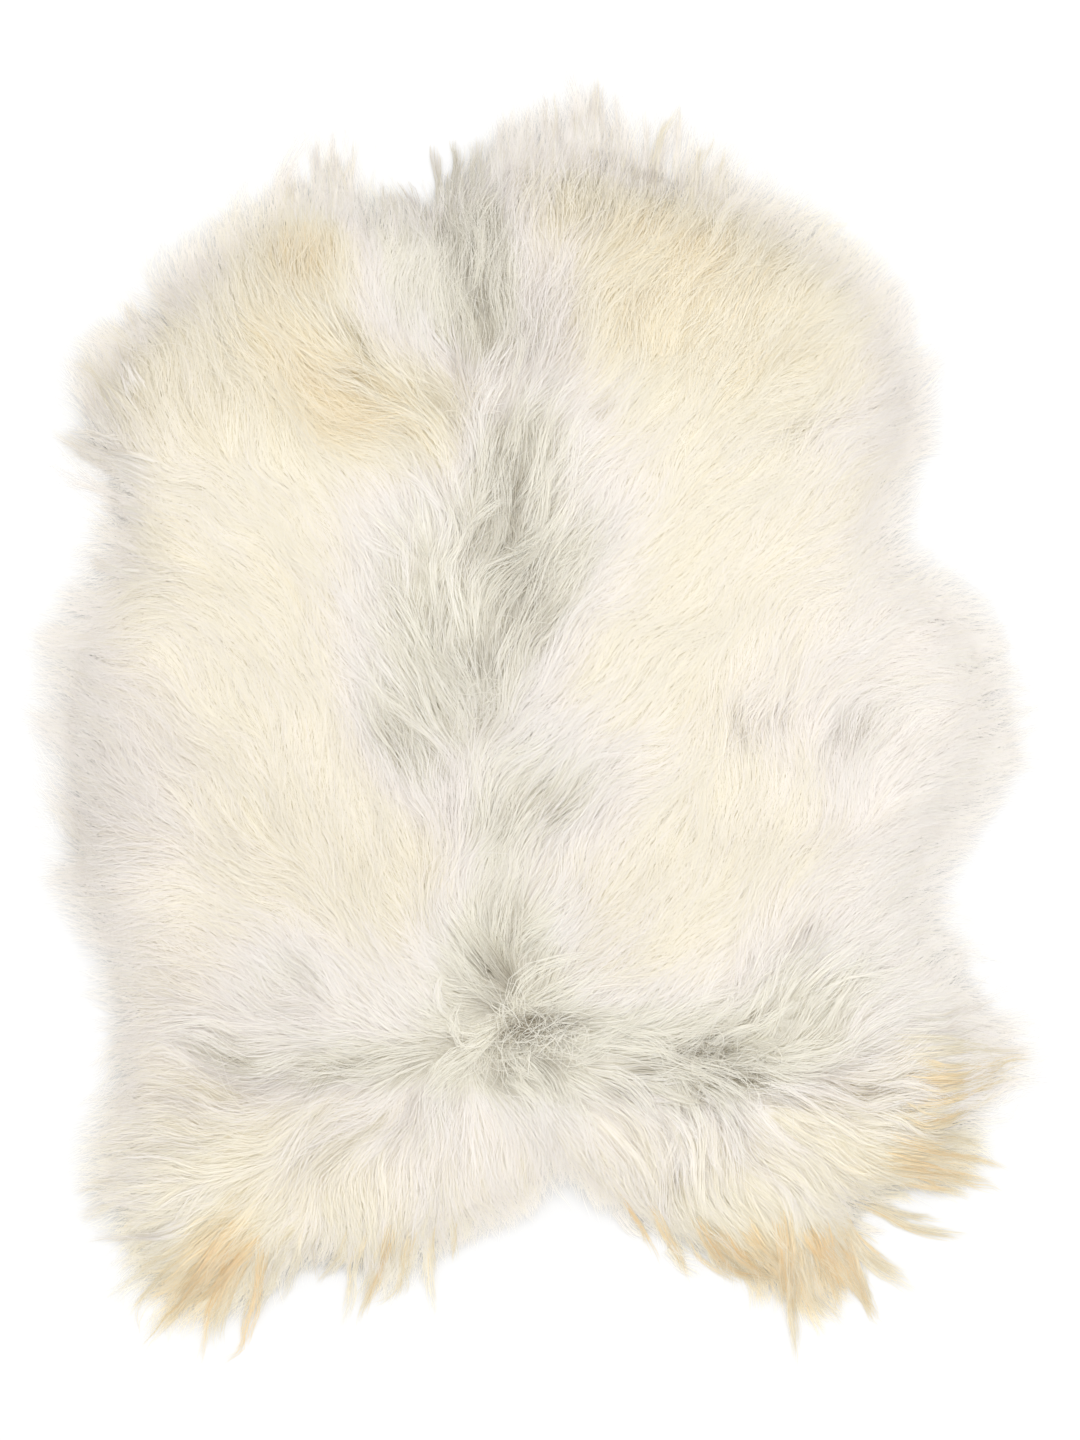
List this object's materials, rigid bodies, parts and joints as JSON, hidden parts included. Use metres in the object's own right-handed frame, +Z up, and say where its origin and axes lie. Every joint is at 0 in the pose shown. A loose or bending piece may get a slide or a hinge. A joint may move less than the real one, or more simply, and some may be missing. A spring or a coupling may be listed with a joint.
{
  "type": "sheepskin rug",
  "caption": "Long-wool sheepskin rug lying flat: an animal-shaped tanned skin under a deep cream fleece, with pointed locks of wool hanging over its edge all round.",
  "frame": {"origin": "middle of the rug's overall width and length, on the floor it lies on", "axes": "+Y along the length, from the tail to the neck; +Z up through the wool; +X to the right seen from above with the neck away"},
  "size_m": [0.8606, 1.1004, 0.0516],
  "materials": {
    "hide": "sueded tanned skin",
    "wool": "long natural cream wool, greyer along the spine and golden at the rear tips"
  },
  "bodies": {
    "root": {"hide": "hide", "fleece": "wool"}
  },
  "joints": []
}
